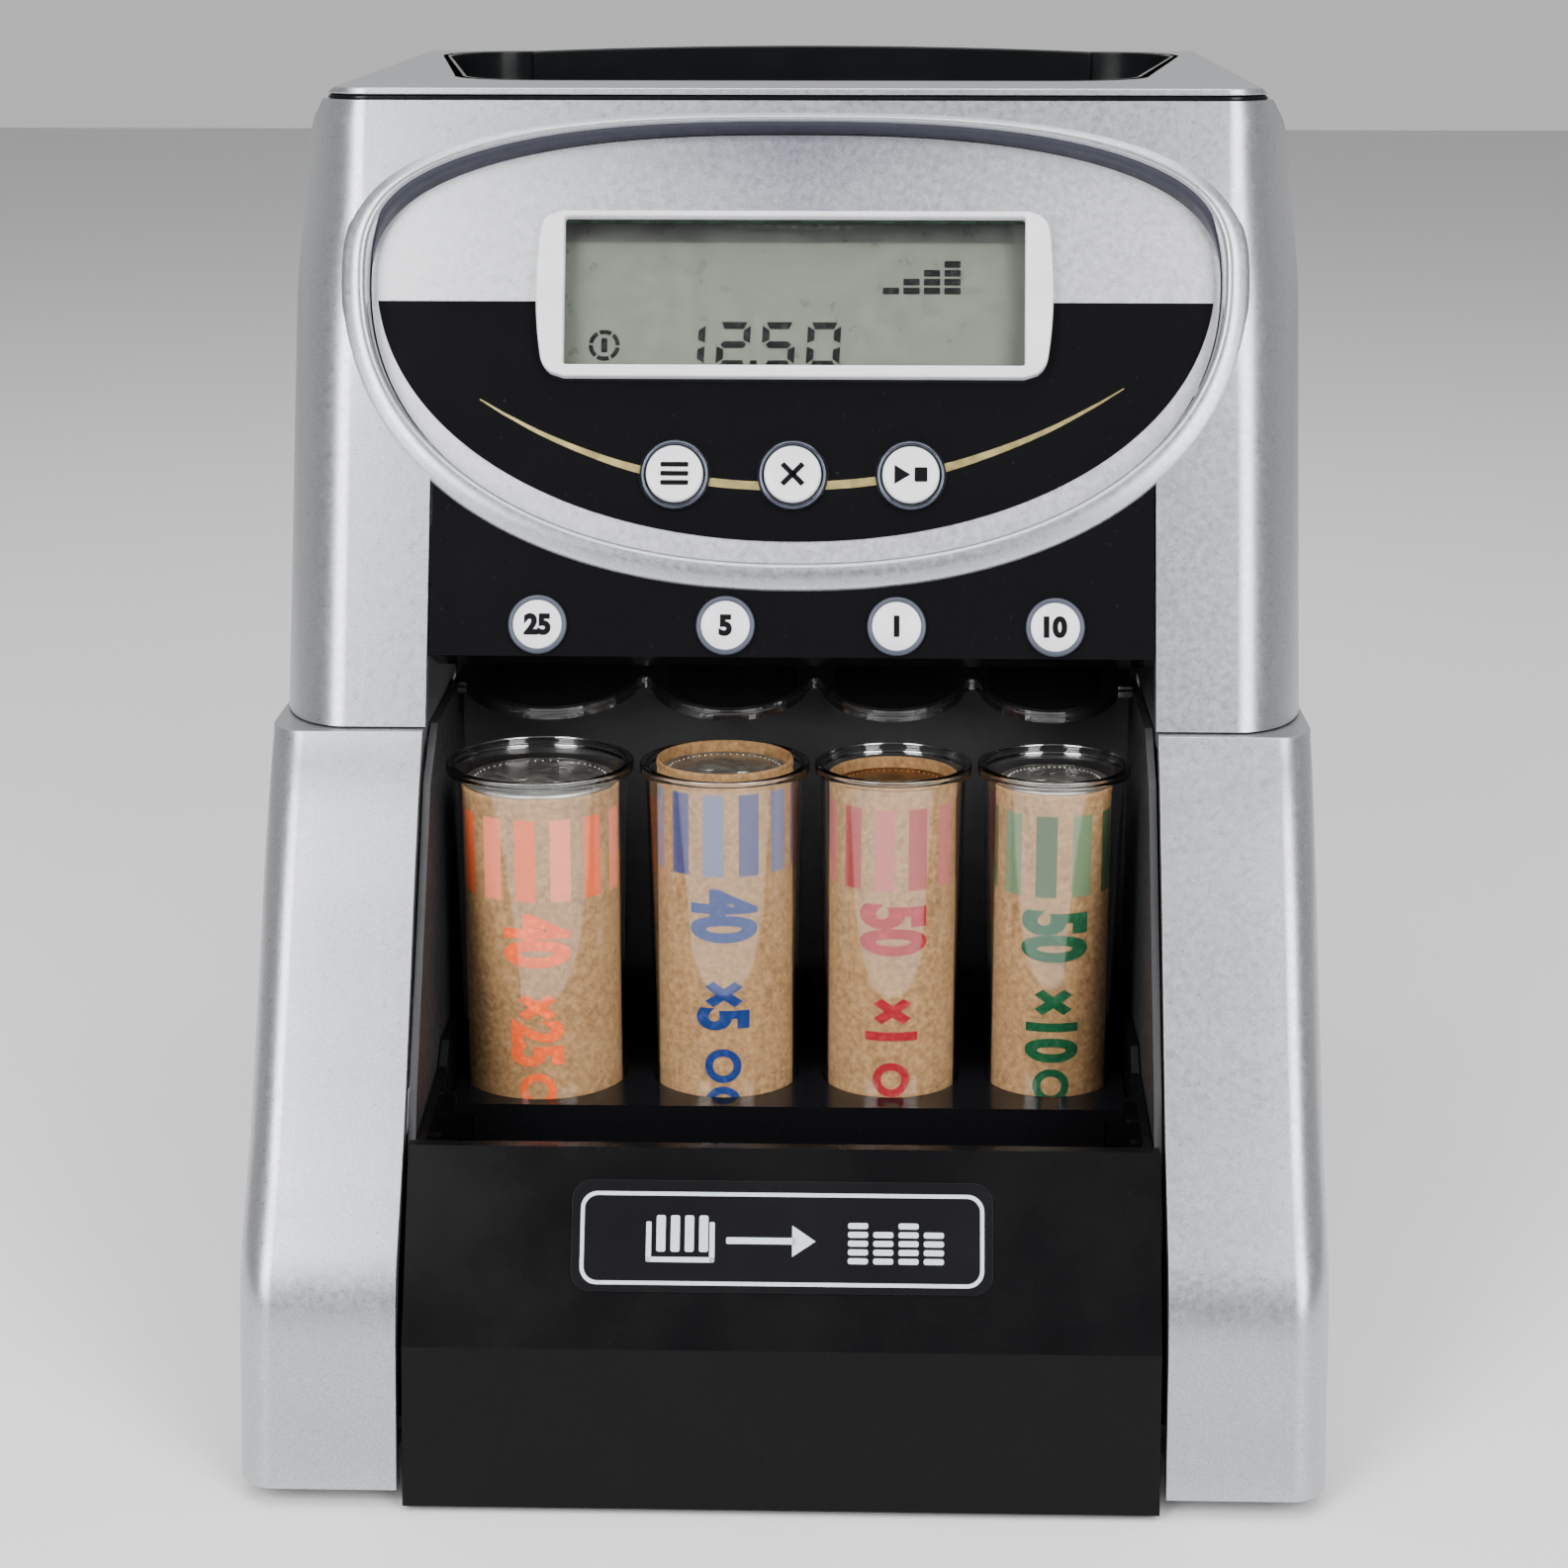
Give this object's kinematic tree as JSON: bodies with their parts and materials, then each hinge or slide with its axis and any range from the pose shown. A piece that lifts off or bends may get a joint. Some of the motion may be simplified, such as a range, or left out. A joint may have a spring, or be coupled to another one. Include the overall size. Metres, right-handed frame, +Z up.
{
  "type": "coin sorting machine",
  "caption": "Desktop coin sorter with a hopper on top, a leaning oval display front and a pull-out tray of clear coin tubes.",
  "frame": {"origin": "centre of the footprint, on the surface that the feet stand on", "axes": "+Z up, front towards -Y, +X to the right seen from the front"},
  "size_m": [0.1692, 0.236, 0.2119],
  "materials": {
    "silver_casing": "satin metallic silver paint on moulded plastic",
    "silver_face": "satin metallic silver over gloss black print",
    "black_gloss": "gloss",
    "black_satin": "fine texture",
    "white_plastic": "satin",
    "clear_lens": "clear",
    "lcd_glass": "satin",
    "circuit_board": "solder mask",
    "dark_chrome": "polished dark",
    "rubber": "matte",
    "steel": "brushed",
    "pale_plastic": "satin",
    "label_film": "gloss",
    "clear_plastic": "clear",
    "kraft_paper": "fibrous",
    "coin_silver": "worn",
    "coin_copper": "worn"
  },
  "bodies": {
    "casing": {"upper_shell": "silver_casing", "left_side_panel": "silver_casing", "right_side_panel": "silver_casing", "hopper_rim": "silver_casing", "hopper_bowl": "black_gloss", "chute_panel": "black_gloss", "chute_plate": "black_gloss", "coin_chutes": "black_gloss", "base_chassis": "black_satin", "rear_cover": "black_satin", "power_switch_frame": "black_satin", "dc_inlet": "black_satin", "oval_faceplate": "silver_face", "display_bezel": "white_plastic", "label_25": "white_plastic", "label_5": "white_plastic", "label_1": "white_plastic", "label_10": "white_plastic", "display_window": "clear_lens", "lcd_panel": "lcd_glass", "display_board": "circuit_board", "main_board": "circuit_board", "sensor_board": "circuit_board", "mode_button_ring": "dark_chrome", "clear_button_ring": "dark_chrome", "run_button_ring": "dark_chrome", "foot_front_left": "rubber", "foot_front_right": "rubber", "foot_rear_left": "rubber", "foot_rear_right": "rubber", "gearbox": "steel", "drive_motor": "steel", "sorting_rail": "pale_plastic"},
    "tray": {"coin_tray": "black_gloss", "tray_deck": "black_gloss", "tray_label": "label_film"},
    "tube_set_25": {"tube_25": "clear_plastic", "wrapper_25": "kraft_paper", "coins_25": "coin_silver"},
    "tube_set_5": {"tube_5": "clear_plastic", "wrapper_5": "kraft_paper", "coins_5": "coin_silver"},
    "tube_set_1": {"tube_1": "clear_plastic", "wrapper_1": "kraft_paper", "coins_1": "coin_copper"},
    "tube_set_10": {"tube_10": "clear_plastic", "wrapper_10": "kraft_paper", "coins_10": "coin_silver"},
    "mode_key": {"mode_button": "white_plastic"},
    "clear_key": {"clear_button": "white_plastic"},
    "run_key": {"run_button": "white_plastic"},
    "power_key": {"power_rocker": "black_satin"},
    "feed_rotor": {"feed_disc": "steel", "drive_shaft": "steel"}
  },
  "joints": [
    {"name": "tray_slide", "type": "slide", "parent": "casing", "child": "tray", "axis": [0, -1, 0], "range_m": [0, 0.07]},
    {"name": "tube_lift_25", "type": "slide", "parent": "tray", "child": "tube_set_25", "axis": [0, 0, 1], "range_m": [0, 0.003]},
    {"name": "tube_lift_5", "type": "slide", "parent": "tray", "child": "tube_set_5", "axis": [0, 0, 1], "range_m": [0, 0.003]},
    {"name": "tube_lift_1", "type": "slide", "parent": "tray", "child": "tube_set_1", "axis": [0, 0, 1], "range_m": [0, 0.003]},
    {"name": "tube_lift_10", "type": "slide", "parent": "tray", "child": "tube_set_10", "axis": [0, 0, 1], "range_m": [0, 0.003]},
    {"name": "mode_press", "type": "slide", "parent": "casing", "child": "mode_key", "axis": [0, 0.9382, -0.3461], "range_m": [0, 0.001], "stiffness_N_per_m": 300, "springref_m": -0.0006},
    {"name": "clear_press", "type": "slide", "parent": "casing", "child": "clear_key", "axis": [0, 0.9382, -0.3461], "range_m": [0, 0.001], "stiffness_N_per_m": 300, "springref_m": -0.0006},
    {"name": "run_press", "type": "slide", "parent": "casing", "child": "run_key", "axis": [0, 0.9382, -0.3461], "range_m": [0, 0.001], "stiffness_N_per_m": 300, "springref_m": -0.0006},
    {"name": "power_rock", "type": "hinge", "parent": "casing", "child": "power_key", "pos_m": [0.061, 0.1136, 0.025], "axis": [1, 0, 0], "range_deg": [-16, 0]},
    {"name": "feed_spin", "type": "hinge", "parent": "casing", "child": "feed_rotor", "pos_m": [0, 0.05, 0.157], "axis": [0, 0, 1], "continuous": true}
  ]
}
